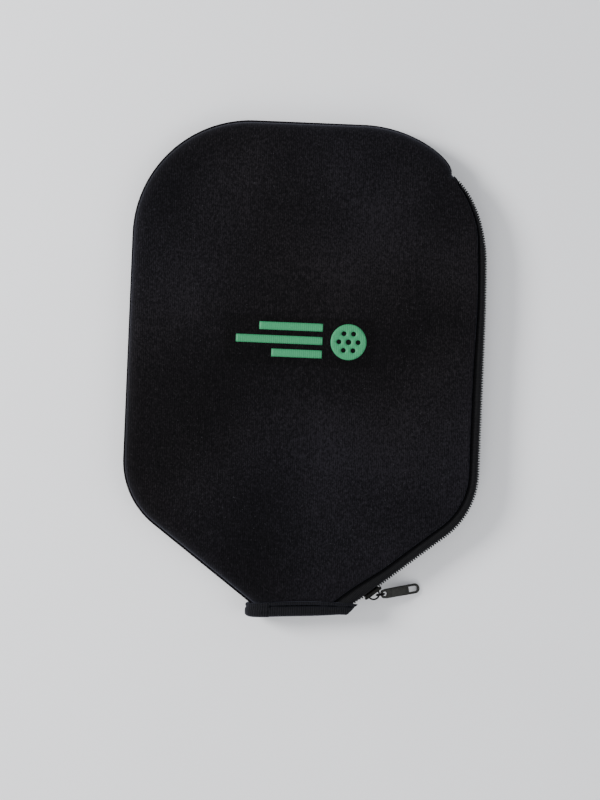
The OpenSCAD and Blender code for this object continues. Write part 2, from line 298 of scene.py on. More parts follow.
def fade_box(nt, low, high, axis, soft=0.002):
    """1 between low and high millimetres along one axis, fading to 0 over soft metres at each end."""
    half, centre = (high - low) / 2 * MM, (low + high) / 2 * MM
    sep = nt.nodes.new("ShaderNodeSeparateXYZ")
    nt.links.new(nt.nodes.new("ShaderNodeTexCoord").outputs["Object"], sep.inputs[0])
    off = math_node(nt, "ABSOLUTE", math_node(nt, "SUBTRACT", sep.outputs[axis], centre))
    r = nt.nodes.new("ShaderNodeMapRange")
    r.interpolation_type = "SMOOTHSTEP"
    feed(nt, r, Value=off, From_Min=half - soft, From_Max=half, To_Min=1.0, To_Max=0.0)
    return r.outputs[0]


def jersey(name, dark, mid, light, pressed=None):
    """Fine knit jersey: upright wales, speckle, broad patches of painted light and shade, and lint, darker in
    the pressed box.
    """
    m, nt, bsdf = nodes_of(name)
    vec = coords(nt)
    tilt = noise(nt, coords(nt, (1, 0.35, 1)), 320, 2)
    wave = stripes(nt, vec, per(WALE), 1.2, 2.0, 3.0)
    speck = noise(nt, coords(nt, (1, 0.55, 1)), 1150, 2, 0.7)
    fleck = noise(nt, vec, 620, 1, 0.5)
    # painted light and shade: slow noise lightens and darkens broad patches of the cloth
    painted_broad_shade = noise(nt, vec, 11, 1.5)
    mix = weighted(nt, (speck, 0.62), (wave, 0.07), (painted_broad_shade, 0.42), (fleck, 0.16))
    col = ramp(nt, mix, [(0.46, dark), (0.63, mid), (0.82, light)])
    drift = noise(nt, coords(nt, (1.0, 0.7, 1.0)), 7, 1)
    warm_to_cool = ramp(nt, drift, [(0.38, (1.0, 0.93, 0.88)), (0.62, (0.95, 0.93, 1.0))])
    col = mixed(nt, "MULTIPLY", col, warm_to_cool)
    if pressed:
        x0, x1, y0, y1 = pressed
        box = math_node(nt, "MULTIPLY", fade_box(nt, x0, x1, 0), fade_box(nt, y0, y1, 1))
        shade = ramp(nt, noise(nt, vec, 300, 1), [(0.2, (0.70, 0.70, 0.66)), (0.8, (0.78, 0.78, 0.74))])
        col = mixed(nt, "MULTIPLY", col, shade, box)
    lint = ramp(nt, noise(nt, coords(nt, (1, 0.8, 1)), 1700, 0), [(0.80, (0, 0, 0)), (0.85, (1, 1, 1))])
    col = mixed(nt, "ADD", col, (0.020, 0.020, 0.022, 1), lint)
    feed(nt, bsdf, Base_Color=col, Roughness=0.9, Specular_IOR_Level=0.06,
         Sheen_Weight=0.10, Sheen_Roughness=0.45, Sheen_Tint=SHEEN_TINT)
    bump(nt, bsdf, weighted(nt, (wave, 0.5), (speck, 0.9), (tilt, 0.6)), 0.00022, 0.75)
    return m


def ribbed(name, base, light, pitch, sheen=0.02, painted_groove_shade=False):
    """Woven tape with ribs across its length. The run attribute's x is the length along it.
    On a tape with painted groove shade, its y is how much painted shade darkens it where the stitches pull it
    in."""
    m, nt, bsdf = nodes_of(name)
    vec = coords(nt, attribute="run")
    mix = weighted(nt, (stripes(nt, vec, per(pitch), 0.3), 0.45), (noise(nt, coords(nt), 900, 2, 0.6), 0.55))
    col = ramp(nt, mix, [(0.3, base), (0.75, light)])
    # painted shade: the run attribute's y darkens the colour down to near black
    if painted_groove_shade:
        parts = nt.nodes.new("ShaderNodeSeparateXYZ")
        nt.links.new(vec, parts.inputs[0])
        depth = math_node(nt, "MULTIPLY", parts.outputs["Y"], 1000.0)
        col = mixed(nt, "MULTIPLY", col, ramp(nt, depth, [(0.1, (1, 1, 1)), (0.6, (0.04, 0.04, 0.04))]))
    feed(nt, bsdf, Base_Color=col, Roughness=0.75, Specular_IOR_Level=0.04 if painted_groove_shade else 0.07,
         Sheen_Weight=sheen, Sheen_Tint=SHEEN_TINT)
    bump(nt, bsdf, mix, 0.00018, 0.8)
    return m


def metal(name, base, rough, tint=1.0):
    """Plated metal with slight wear. A low tint darkens it at grazing angles."""
    m, nt, bsdf = nodes_of(name)
    wear = noise(nt, coords(nt), 700, 4)
    fine = noise(nt, coords(nt, (1, 6, 1)), 900, 3)
    feed(nt, bsdf, Base_Color=ramp(nt, wear, [(0.35, [c * 0.7 for c in base]), (0.7, base)]),
         Roughness=ramp(nt, fine, [(0.3, [rough * 0.85] * 3), (0.75, [rough * 1.25] * 3)]),
         Metallic=0.85, Specular_Tint=(tint, tint, tint, 1))
    bump(nt, bsdf, math_node(nt, "ADD", wear, fine), 0.00001, 0.5)
    return m


def plastic(name, dark, light, rough):
    m, nt, bsdf = nodes_of(name)
    grain = noise(nt, coords(nt), 1400, 2)
    feed(nt, bsdf, Base_Color=ramp(nt, grain, [(0.35, dark), (0.7, light)]), Roughness=rough,
         Specular_IOR_Level=0.22)
    bump(nt, bsdf, grain, 0.00001, 0.4)
    return m


def thread_mat(name, dark, light):
    m, nt, bsdf = nodes_of(name)
    twist = stripes(nt, coords(nt), 220.0, 0.4, direction="DIAGONAL")
    feed(nt, bsdf, Base_Color=ramp(nt, twist, [(0.2, dark), (0.8, light)]), Roughness=0.6,
         Specular_IOR_Level=0.1)
    bump(nt, bsdf, twist, 0.00005, 0.7)
    return m


def print_mat():
    """Green film that lets the knit show through."""
    m, nt, bsdf = nodes_of("print_green")
    knit = stripes(nt, coords(nt), per(WALE), 1.5, 2.0)
    mix = weighted(nt, (knit, 0.35), (noise(nt, coords(nt), 900, 3), 0.65))
    feed(nt, bsdf, Base_Color=ramp(nt, mix, [(0.3, (0.024, 0.21, 0.090)), (0.7, (0.036, 0.285, 0.115))]),
         Roughness=0.55, Specular_IOR_Level=0.3)
    bump(nt, bsdf, mix, 0.00006, 0.6)
    return m


BLACK_JERSEY = (0.0011, 0.0010, 0.0011), (0.0040, 0.0037, 0.0043), (0.0145, 0.0134, 0.0155)
MAT = {
    "front": jersey("jersey_front", *BLACK_JERSEY, pressed=(-51, 43, 1.5, 33.5)),
    "jersey": jersey("jersey_black", *BLACK_JERSEY),
    "facing": ribbed("facing_jersey", (0.0020, 0.0020, 0.0021), (0.0100, 0.0098, 0.0105), 0.9, sheen=0.05),
    "lining": jersey("jersey_lining", (0.003, 0.003, 0.0035), (0.008, 0.008, 0.009), (0.02, 0.02, 0.022)),
    "binding": ribbed("binding_tape", (0.0022, 0.0022, 0.0025), (0.0120, 0.0119, 0.0134), 1.35,
                      sheen=0.09, painted_groove_shade=True),
    "tape": ribbed("zip_tape", (0.003, 0.003, 0.003), (0.010, 0.010, 0.010), 0.6),
    "coil": plastic("nylon_coil", (0.0022, 0.0022, 0.0022), (0.005, 0.005, 0.005), 0.38),
    "slider": metal("gunmetal", (0.022, 0.022, 0.020), 0.34, tint=0.4),
    "ring": metal("gunmetal_ring", (0.010, 0.010, 0.010), 0.28, tint=0.10),
    "stop": metal("stop_metal", (0.10, 0.10, 0.10), 0.4),
    "thread": thread_mat("sewing_thread", (0.0015, 0.0015, 0.0018), (0.0055, 0.0055, 0.006)),
    "print": print_mat(),
}


# ------------------------------------------------------------------ mesh helpers
def add_object(name, data):
    o = bpy.data.objects.new(name, data)
    bpy.context.scene.collection.objects.link(o)
    return o


def outward(me, merge=0):
    """Joins points closer than merge metres, then turns every face outward."""
    bm = bmesh.new()
    bm.from_mesh(me)
    if merge:
        bmesh.ops.remove_doubles(bm, verts=bm.verts, dist=merge)
    bmesh.ops.recalc_face_normals(bm, faces=bm.faces)
    bm.to_mesh(me)
    bm.free()


def build(name, verts, faces, mats, face_mat=None, run=None):
    """A mesh object from points in millimetres."""
    me = bpy.data.meshes.new(name)
    me.from_pydata([tuple(float(c) * MM for c in v) for v in verts], [],
                   [tuple(int(i) for i in f) for f in faces])
    for m in mats if isinstance(mats, (list, tuple)) else [mats]:
        me.materials.append(MAT[m])
    if face_mat is not None:
        me.polygons.foreach_set("material_index", list(face_mat))
    if run is not None:
        a = me.attributes.new("run", "FLOAT_VECTOR", "POINT")
        a.data.foreach_set("vector", (np.asarray(run, float) * MM).ravel())
    outward(me)
    me.polygons.foreach_set("use_smooth", [True] * len(me.polygons))
    o = add_object(name, me)
    me.update()
    return o


def place(o, body, slot, *replaced):
    """Puts a piece on its body, or across the fold."""
    if body == "fold":
        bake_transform(o)
    else:
        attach(o, body)
    if replaced:
        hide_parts(*replaced)


def strip_faces(n, m, closed_loop=True):
    """Quads between n rows of m points."""
    f = []
    for i in range(n - 1):
        for k in range(m if closed_loop else m - 1):
            a, b = i * m + k, i * m + (k + 1) % m
            f.append((a, b, b + m, a + m))
    return f


def capped(n, m):
    """Quads between n closed rows of m points, with a face over each end."""
    return strip_faces(n, m) + [tuple(range(m))[::-1], tuple((n - 1) * m + k for k in range(m))]


def sweep(name, path, loops, mat):
    """A closed section swept along a path. loops[i] is an (m, 2) array of (inward distance, height)."""
    n, m = len(path.p), len(loops[0])
    loops = np.array(loops)
    d, z = loops[:, :, 0], loops[:, :, 1]
    xy = path.p[:, None, :] + path.inward[:, None, :] * d[:, :, None]
    verts = np.concatenate([xy, z[:, :, None]], axis=2).reshape(-1, 3)
    run = np.zeros((n * m, 3))
    run[:, 0] = np.repeat(path.s, m)
    run[:, 1] = np.tile(np.arange(m), n)
    return build(name, verts, capped(n, m), mat, run=run)


# ------------------------------------------------------------------ height of the panels
def bumps_field(seed, amp, size):
    """Slow swells: a few broad sine waves in random directions."""
    r = np.random.default_rng(seed)
    waves = [(r.uniform(0, 2 * math.pi), r.uniform(0.7, 1.5) * size, r.uniform(0, 6.28), r.uniform(0.5, 1))
             for _ in range(7)]
    total = sum(w[3] for w in waves)

    def f(x, y):
        z = 0
        for a, length, ph, k in waves:
            z = z + k * np.sin(2 * math.pi * (x * math.cos(a) + y * math.sin(a)) / length + ph)
        return amp * z / total * 2
    return f


def simulate_panel(name, gravity, seed):
    """Lets a foam sheet settle between its sewn edges. Gives its height change as a function of x and y."""
    nx, ny, last_frame, limit = 45, 61, 26, 2.2
    xs, ys = np.linspace(-112, 112, nx), np.linspace(-150, 156, ny)
    gx, gy = np.meshgrid(xs, ys)
    start = bumps_field(seed, 1.6, 90)(gx, gy)
    verts = np.stack([gx, gy, start], 2).reshape(-1, 3) * MM
    me = bpy.data.meshes.new(name)
    me.from_pydata(verts.tolist(), [], [(j * nx + i, j * nx + i + 1, (j + 1) * nx + i + 1, (j + 1) * nx + i)
                                        for j in range(ny - 1) for i in range(nx - 1)])
    o = add_object(name, me)
    edge = inside_depth(gx.ravel(), gy.ravel())
    pins = o.vertex_groups.new(name="sewn")
    for i in np.nonzero(edge < 11)[0]:
        pins.add([int(i)], 1.0, "REPLACE")
    mod = o.modifiers.new("cloth", "CLOTH")
    st = mod.settings
    st.quality = 6
    st.mass = 0.12
    st.tension_stiffness = st.compression_stiffness = 18
    st.shear_stiffness = 8
    st.bending_stiffness = 6
    st.shrink_min = -0.012
    st.vertex_group_mass = "sewn"
    st.effector_weights.gravity = gravity
    scene = bpy.context.scene
    mod.point_cache.frame_start, mod.point_cache.frame_end = 1, last_frame
    for f in range(1, last_frame + 1):
        scene.frame_set(f)
    dg = bpy.context.evaluated_depsgraph_get()
    ev = o.evaluated_get(dg).to_mesh()
    co = np.zeros(len(ev.vertices) * 3)
    ev.vertices.foreach_get("co", co)
    z = co.reshape(-1, 3)[:, 2].reshape(ny, nx) / MM
    bpy.data.objects.remove(o)
    scene.frame_set(1)
    for _ in range(5):  # soften to the scale of thick foam
        p = np.pad(z, 1, mode="edge")
        z = (p[:-2, 1:-1] + p[2:, 1:-1] + p[1:-1, :-2] + p[1:-1, 2:] + 2 * z) / 6
    z = np.clip(z, -limit, limit)

    def f(x, y):
        u = np.clip((np.asarray(x, float) - xs[0]) / (xs[1] - xs[0]), 0, nx - 1.001)
        v = np.clip((np.asarray(y, float) - ys[0]) / (ys[1] - ys[0]), 0, ny - 1.001)
        i, j = u.astype(int), v.astype(int)
        a, b = u - i, v - j
        a, b = a * a * (3 - 2 * a), b * b * (3 - 2 * b)
        return (z[j, i] * (1 - a) * (1 - b) + z[j, i + 1] * a * (1 - b)
                + z[j + 1, i] * (1 - a) * b + z[j + 1, i + 1] * a * b)
    return f


FINE = Path(2.2)


def inside_depth(x, y):
    """Distance to the nearest side of the case, for points inside it."""
    p = np.stack([np.asarray(x, float).ravel(), np.asarray(y, float).ravel()], 1)
    out = np.full(len(p), 1e9)
    for i in range(0, len(p), 2000):
        q = p[i:i + 2000]
        diff = q[:, None, :] - FINE.p[None]
        dist = np.linalg.norm(diff, axis=2)
        j = dist.argmin(1)
        side = np.einsum("ij,ij->i", q - FINE.p[j], -FINE.out[j])
        out[i:i + 2000] = np.where(side < 0, -dist.min(1), dist.min(1))
    return out.reshape(np.shape(x))


def band_top(x):
    """Where the mouth tape's upper edge runs on the front."""
    u = (np.asarray(x, float) + 30) / 67
    return -144.9 + 2.8 * u + 7.0 * u * (1 - u)


def band_low(x):
    return -152.9 + 3.8 * np.clip((np.asarray(x, float) + 26.5) / 58.3, 0, 1)


SWELL_F, SWELL_B = simulate_panel("front_sheet", 0.5, 3), simulate_panel("back_sheet", 0.0, 5)


def top_height(x, y, depth):
    """Outer height of the front panel away from its rim."""
    crown = 18.95 + 1.2 * smooth(depth, 8, 42) - 1.0 * smooth(depth, 42, 95)
    swell = SWELL_F(x, y) * smooth(depth, 10, 38)
    return crown + swell - tuck(x, y)


def tuck(x, y):
    """How far the mouth binding presses the foam down."""
    return 2.2 * (1 - smooth(y - band_top(x), -0.6, 4.6))


RINGS = 16
BACK_Z = 0.04   # height of the back panel's outer face
RIM = 12.5      # inward distance at which the rings end and the filled sheet begins


def blend_rows(a, b, w):
    return a * (1 - w[:, None, None]) + b * w[:, None, None]


def front_sections(path):
    """Outer and inner rim sections of the front panel: turned under at the seam, rolled at the zipper."""
    a = np.radians(np.linspace(-14, 90, 13))
    seam = np.concatenate([[[3.4, 9.9], [2.1, 10.25]],
                           np.stack([10.7 - 9.7 * np.cos(a), 12.5 + 7.12 * np.sin(a)], 1), [[RIM, 19.66]]])
    inner = np.concatenate([[[3.8, 9.9], [3.9, 10.6]],
                            np.stack([10.7 - 6.7 * np.cos(a), 12.5 + 4.12 * np.sin(a)], 1), [[RIM, 16.66]]])
    fade = np.concatenate([np.ones(2), np.linspace(1, 0, RINGS - 2)])
    shift = (path.seam[:, None] * fade[None])[:, :, None] * np.array([1.0, 0.0])
    seam, inner = seam[None] + shift, inner[None] + shift
    b = np.radians(np.linspace(-90, 90, 13))
    outs, ins = [], []
    for e in path.edge:
        rim = RIM + max(0, e - 8)
        roll = np.stack([e + 1.7 - 1.7 * np.cos(b), 18.35 + 1.5 * np.sin(b)], 1)
        outs.append(np.concatenate([[[e + 3.4, 16.9], [e + 2.4, 16.86]], roll, [[rim, 19.72]]]))
        ins.append(np.stack([np.linspace(e + 3.6, rim, RINGS),
                             np.full(RINGS, 16.95) - np.linspace(0, 0.25, RINGS)], 1))
    return blend_rows(seam, np.array(outs), path.zip), blend_rows(inner, np.array(ins), path.zip)


def back_sections(path):
    """The same for the back panel."""
    a = np.radians(np.linspace(-6, 90, 13))
    seam = np.concatenate([[[3.4, 10.1], [1.2, 10.35]],
                           np.stack([10.2 - 10.15 * np.cos(a), 9.2 - 9.1 * np.sin(a)], 1), [[RIM, BACK_Z]]])
    inner = np.concatenate([[[3.9, 10.0], [3.7, 9.6]],
                            np.stack([10.2 - 7.1 * np.cos(a), 9.2 - 6.1 * np.sin(a)], 1), [[RIM, 3.05]]])
    b = np.radians(np.linspace(-90, 90, 13))
    outs, ins = [], []
    for e in np.maximum(path.edge, 2.6):
        roll = np.stack([e + 1.7 - 1.7 * np.cos(b), 1.58 - 1.52 * np.sin(b)], 1)
        outs.append(np.concatenate([[[e + 3.4, 3.1], [e + 2.4, 3.12]], roll, [[RIM, BACK_Z]]]))
        ins.append(np.stack([np.linspace(e + 3.6, RIM, RINGS), np.linspace(3.05, 3.1, RINGS)], 1))
    return blend_rows(seam[None], np.array(outs), path.zip), blend_rows(inner[None], np.array(ins), path.zip)


def wall(rim, count):
    """Quads that join a sheet's rim to the rim of its copy, count points later."""
    return [(a, b, count + b, count + a) for a, b in zip(rim, rim[1:] + rim[:1])]


def panel_mesh(path, outer, inner, outer_h, inner_h, grid=3.4):
    """One closed panel: rings near the rim from the sections, and inside them a sheet at given heights."""
    n = len(path.p)

    def ring_points(sec):
        xy = path.p[:, None, :] + path.inward[:, None, :] * sec[:, :, :1]
        return np.concatenate([xy, sec[:, :, 1:]], 2)

    ro, ri = ring_points(outer), ring_points(inner)
    last = ro[:, -1, :2]
    y0 = last[0, 1]
    xs = np.arange(last[0, 0] + 2.0, last[-1, 0] - 1.0, 2.2)[::-1]
    mouth = np.stack([xs, np.full(len(xs), y0)], 1)
    loop = np.concatenate([last, mouth])
    gx, gy = np.meshgrid(np.arange(-98, 98, grid), np.arange(y0 + 1.8, 142, grid))
    gx = gx + (np.arange(gx.shape[0]) % 2)[:, None] * grid / 2
    gx, gy = gx.ravel(), gy.ravel()
    keep = (inside_depth(gx, gy) > RIM + grid * 0.55) & (np.abs(gx) < 97) & (gy < 139)
    pts = np.concatenate([loop, np.stack([gx[keep], gy[keep]], 1)])
    res = delaunay_2d_cdt([Vector(p) for p in pts], [], [list(range(len(loop)))], 1, 1e-6)
    new_pts = np.array([list(v) for v in res[0]])
    tris = res[2]
    index, extra = {}, []
    for i, o in enumerate(res[3]):
        src = o[0] if o else None
        if src is not None and src < n:
            index[i] = src * RINGS + RINGS - 1
        else:
            index[i] = n * RINGS + len(extra)
            extra.append((new_pts[i], src))
    ex = np.array([e[0] for e in extra])
    depth = inside_depth(ex[:, 0], ex[:, 1])
    mouth_ids = {src: n * RINGS + i for i, (_, src) in enumerate(extra)
                 if src is not None and n <= src < len(loop)}
    v_out = np.concatenate([ro.reshape(-1, 3), np.column_stack([ex, outer_h(ex[:, 0], ex[:, 1], depth)])])
    v_in = np.concatenate([ri.reshape(-1, 3), np.column_stack([ex, inner_h(ex[:, 0], ex[:, 1], depth)])])
    total = len(v_out)
    faces = strip_faces(n, RINGS, closed_loop=False) + [tuple(index[i] for i in f) for f in tris]
    rim = ([RINGS - 1 - k for k in range(RINGS)] + [i * RINGS for i in range(1, n)]
           + [(n - 1) * RINGS + k for k in range(1, RINGS)]
           + [mouth_ids[n + i] for i in range(len(mouth)) if n + i in mouth_ids])
    all_faces = faces + [tuple(total + i for i in f[::-1]) for f in faces] + wall(rim, total)
    mats = [0] * len(faces) + [1] * len(faces) + [0] * len(rim)
    return np.concatenate([v_out, v_in]), all_faces, mats


def front_ring_heights(path, sec):
    """Lets the outermost ring of the sheet follow the swells and the tuck at the mouth."""
    k = sec.shape[1] - 1
    d = sec[:, k, 0]
    xy = at(path, d)
    want = top_height(xy[:, 0], xy[:, 1], inside_depth(xy[:, 0], xy[:, 1]))
    delta = want - sec[:, k, 1]
    for r in range(2, k + 1):
        t = (r - 1) / (k - 1)
        sec[:, r, 1] += delta * t ** 1.5
    return sec


def front_inner(x, y, depth):
    """Height of the front panel's inner face, which the mouth tape leaves alone."""
    return top_height(x, y, depth) + tuck(x, y) - PANEL_T


def back_swell(x, y, depth):
    return 0.35 * SWELL_B(x, y) * smooth(depth, 14, 40) * 0.5


outer, inner = front_sections(FINE)
verts, faces, mats = panel_mesh(FINE, front_ring_heights(FINE, outer), inner, top_height, front_inner)
cover = build("front_cover", verts, faces, ["front", "lining"], mats)
place(cover, "fold", "jersey_foam", "front_panel", "front_flap")

verts, faces, mats = panel_mesh(FINE, *back_sections(FINE), lambda x, y, d: np.full(len(x), BACK_Z),
                                lambda x, y, d: 3.05 + back_swell(x, y, d))
back = build("back_cover", verts, faces, ["jersey", "lining"], mats)
place(back, "case", "jersey_foam", "back_panel")


# ------------------------------------------------------------------ linings
def lining_sheet(name, height, sign):
    """A thin jersey sheet inside a panel, cut a little inside its rim."""
    inset, g = 12.2, 2.5
    ring = at(Path(3.5, past=0.5), inset)
    xs = np.arange(ring[0, 0] + 2.5, ring[-1, 0] - 1.5, 3.0)[::-1]
    loop = np.concatenate([ring, np.stack([xs, np.full(len(xs), ring[0, 1])], 1)])
    gx, gy = np.meshgrid(np.arange(-96, 96, g), np.arange(ring[0, 1] + 3, 140, g))
    gx, gy = gx.ravel(), gy.ravel()
    keep = inside_depth(gx, gy) > inset + g * 0.6
    pts = np.concatenate([loop, np.stack([gx[keep], gy[keep]], 1)])
    res = delaunay_2d_cdt([Vector(p) for p in pts], [], [list(range(len(loop)))], 1, 1e-6)
    p = np.array([list(v) for v in res[0]])
    z = height(p[:, 0], p[:, 1], inside_depth(p[:, 0], p[:, 1]))
    count = len(p)
    order = {o[0]: i for i, o in enumerate(res[3]) if o}
    rim = [order[i] for i in range(len(loop))]
    v = np.concatenate([np.column_stack([p, z]), np.column_stack([p, z - sign * LINING_T])])
    f = [tuple(tri) for tri in res[2]] + [tuple(count + i for i in tri[::-1]) for tri in res[2]]
    o = build(name, v, f + wall(rim, count), "lining")
    return o


o = lining_sheet("front_lining_sheet", lambda x, y, d: front_inner(x, y, d) - 0.25, 1)
place(o, "fold", "lining", "front_lining", "flap_lining")
o = lining_sheet("back_lining_sheet", lambda x, y, d: 3.10 + back_swell(x, y, d), -1)
place(o, "case", "lining", "back_lining")

# ------------------------------------------------------------------ side seam
SEAM = FINE.part((np.arange(len(FINE.p)) < FINE.side_from) & (FINE.ang > ZIP_TOP + 2.5))


def rounded(cx, cz, rx, rz, n, power):
    """A loop between an ellipse, at power 2, and a rectangle, at a high power."""
    a = np.linspace(0, 2 * math.pi, n, endpoint=False)
    c, s = np.cos(a), np.sin(a)
    return np.stack([cx + rx * np.sign(c) * np.abs(c) ** (2 / power),
                     cz + rz * np.sign(s) * np.abs(s) ** (2 / power)], 1)


loop = rounded(6.6, 10.1, 2.9, 1.25, 16, 3.5)
o = sweep("seam_binding_tape", SEAM, [loop] * len(SEAM.p), "tape")
place(o, "case", "binding_tape", "seam_binding")


def stitches(name, points, normals, length, gap, r):
    """Short threads laid end to end along a line, each dipping into the cloth at its ends."""
    points, normals = np.asarray(points, float), np.asarray(normals, float)
    seg = np.linalg.norm(np.diff(points, axis=0), axis=1)
    s = np.concatenate([[0], np.cumsum(seg)])
    verts, faces = [], []
    sides, rows = 6, 7
    pos = 0.3
    while pos + length < s[-1]:
        rings = []
        for k in range(rows):
            t = k / (rows - 1)
            q = pos + length * t
            c = np.array([np.interp(q, s, points[:, j]) for j in range(3)])
            nn = unit([np.interp(q, s, normals[:, j]) for j in range(3)])
            a = np.array([np.interp(q + 0.05, s, points[:, j]) for j in range(3)])
            tan = unit(a - c) if np.linalg.norm(a - c) > 1e-9 else unit(points[-1] - points[-2])
            side = np.cross(tan, nn)
            rad = r * (0.35 + 0.65 * math.sin(math.pi * min(max(t, 0.04), 0.96)) ** 0.5)
            c = c - nn * (r * 1.2 * (1 - math.sin(math.pi * t) ** 0.6))
            rings.append([c + rad * (math.cos(w) * side + math.sin(w) * nn)
                          for w in np.linspace(0, 2 * math.pi, sides, endpoint=False)])
        base = len(verts)
        verts += [p for ring in rings for p in ring]
        faces += [tuple(base + i for i in face) for face in capped(rows, sides)]
        pos += length + gap
    return build(name, verts, faces, "thread")


xy = at(SEAM, 1.35 + SEAM.seam)
pts = np.column_stack([xy, np.full(len(xy), 10.62)])
nrm = np.column_stack([SEAM.out * 0.75, np.full(len(xy), 0.66)])
o = stitches("side_seam_stitches", pts, nrm, 2.3, 0.55, 0.2)
place(o, "case", "thread", "side_seam_thread")

# ------------------------------------------------------------------ zipper strips
ZIP = FINE.part((FINE.zip > 0.55) & (FINE.to_mouth > -3.6))
LONG = Path(2.2, past=11)
LONG = LONG.part((LONG.zip > 0.55) & (LONG.to_mouth > -10.5))


def facing_loops(path, edge, front_side):
    """Sections of the puffy strip between a panel's edge and the teeth."""
    loops = []
    for e, mo, s in zip(edge, path.mouth, path.s):
        outer = max(0.7, min(1.75, e - 0.9)) + 0.12 * math.sin(s / 11.0)
        inner = max(e - 0.1, outer + 1.0)
        mid, half = (outer + inner) / 2, (inner - outer) / 2
        top = 17.9 + 0.25 * math.sin(s / 23.0 + 1) + 0.2 * mo
        low = 15.2
        a = np.radians(np.linspace(-20, 200, 15))
        lean = 0.35 * half * np.sin(a)
        arch = np.stack([mid + half * np.cos(a) - lean,
                         (top - 1.75) + 1.75 * np.sin(a) - 0.8 * np.maximum(np.cos(a), 0)], 1)
        loop = np.concatenate([arch, [[outer + 0.1, low + 0.25], [outer + 0.5, low],
                                      [9.8 + 3 * mo, low], [9.8 + 3 * mo, low + 1.0]]])
        if not front_side:
            loop[:, 1] = THICK - loop[:, 1]
        loops.append(loop)
    return loops


o = sweep("zip_facing_front_strip", LONG, facing_loops(LONG, LONG.edge, True), "facing")
place(o, "fold", "facing", "zip_facing_flap", "zip_facing_top")
o = sweep("zip_facing_back_strip", LONG, facing_loops(LONG, np.maximum(LONG.edge, 3.0), False), "facing")
place(o, "case", "facing", "zip_facing_back")


def tape_loops(path, front_side):
    """Sections of the woven tape, turned down beside the teeth."""
    loops = []
    for mo in path.mouth:
        lift = 0.5 * mo
        loop = np.array([[9.4, 15.1], [2.75, 15.1], [2.35, 14.8], [2.3, 11.0 + lift], [2.6, 10.8 + lift],
                         [2.85, 11.0 + lift], [2.95, 14.3], [3.3, 14.55], [9.4, 14.55]])
        if not front_side:
            loop[:, 1] = THICK - loop[:, 1]
        loops.append(loop)
    return loops


o = sweep("zip_tape_front_strip", ZIP, tape_loops(ZIP, True), "tape")
place(o, "fold", "zip_tape", "zip_tape_flap")
o = sweep("zip_tape_back_strip", ZIP, tape_loops(ZIP, False), "tape")
place(o, "case", "zip_tape", "zip_tape_back")


def tape_stitches(name, z, down):
    """A row of stitches that holds a tape."""
    xy = at(ZIP, 6.3)
    pts = np.column_stack([xy, np.full(len(xy), z)])
    nrm = np.column_stack([np.zeros((len(xy), 2)), np.full(len(xy), -1.0 if down else 1.0)])
    return stitches(name, pts, nrm, 2.2, 0.5, 0.2)


place(tape_stitches("tape_stitches_front", 14.42, True), "fold", "thread", "zip_thread_flap")
place(tape_stitches("tape_stitches_back", 5.58, False), "case", "thread", "zip_thread_back")

# ------------------------------------------------------------------ coil teeth
PITCH = 1.6


def tube(points, r, sides):
    """Verts and faces of a closed tube through points."""
    pts = np.asarray(points, float)
    tan = np.gradient(pts, axis=0)
    tan /= np.linalg.norm(tan, axis=1)[:, None]
    up = np.array([0, 0, 1.0])
    verts, ref = [], None
    for p, t in zip(pts, tan):
        if ref is None:
            ref = np.cross(t, up)
            if np.linalg.norm(ref) < 1e-3:
                ref = np.cross(t, [1.0, 0, 0])
        ref = ref - t * np.dot(ref, t)
        ref /= np.linalg.norm(ref)
        b = np.cross(t, ref)
        for w in np.linspace(0, 2 * math.pi, sides, endpoint=False):
            verts.append(p + r * (math.cos(w) * ref + math.sin(w) * b))
    return verts, capped(len(pts), sides)


def teeth(name, front_side):
    """Turns of the coil, one every pitch, on the outer side of the tape, and the cord inside them."""
    s0, s1 = ZIP.s[0] + 4.5, ZIP.s[-1] - 0.8
    turn = [(-2.0, 13.0), (-1.0, 13.05), (-0.05, 12.6), (0.2, 11.6), (0.0, 10.5), (-0.7, 9.72),
            (-1.25, 9.62), (-1.62, 10.2), (-1.75, 11.4), (-1.9, 12.6)]
    verts, faces = [], []

    def add(v, f):
        base = len(verts)
        verts.extend(v)
        faces.extend(tuple(base + i for i in face) for face in f)

    s = s0 + (0 if front_side else PITCH / 2)
    while s < s1:
        p, out, along = frame_at(ZIP, s)
        open_end = 1 - smooth(ZIP.s[-1] - s, 3.0, 11.0)
        pts = []
        for k, (n, z) in enumerate(turn):
            nn = n - (1.7 * open_end if front_side else 0.75 * (1 - open_end))
            zz = z + 0.85 * open_end if front_side else THICK - z - 0.35 * open_end
            q = p + out * nn + along * (0.30 * (k / (len(turn) - 1) - 0.5))
            pts.append((q[0], q[1], zz))
        add(*tube(pts, 0.48, 6))
        s += PITCH
    core = ZIP.part((ZIP.s > s0) & (ZIP.s < s1))
    open_end = 1 - smooth(ZIP.s[-1] - core.s, 3.0, 11.0)
    xy = at(core, 1.3 + (1.7 * open_end if front_side else 0.5 * (1 - open_end)))
    z = 12.0 + 0.85 * open_end if front_side else 8.0 - 0.35 * open_end
    add(*tube(np.column_stack([xy, z]), 0.8, 8))
    return build(name, verts, faces, "coil")


place(teeth("coil_front", True), "fold", "coil", "zip_coil_flap", "zip_closed_end")
place(teeth("coil_back", False), "case", "coil", "zip_coil_back")

# ------------------------------------------------------------------ slider and pull, bevelled plates
SLIDE_A = math.atan2(-ZIP_DIR[1], -ZIP_DIR[0])
T_AXIS = -ZIP_DIR
IN_AXIS = left(T_AXIS)
S_ORG = MOUTH_R + T_AXIS * SLIDER_AT


def slider_point(x, y, z):
    q = S_ORG + T_AXIS * x + IN_AXIS * y
    return q[0], q[1], MID + z


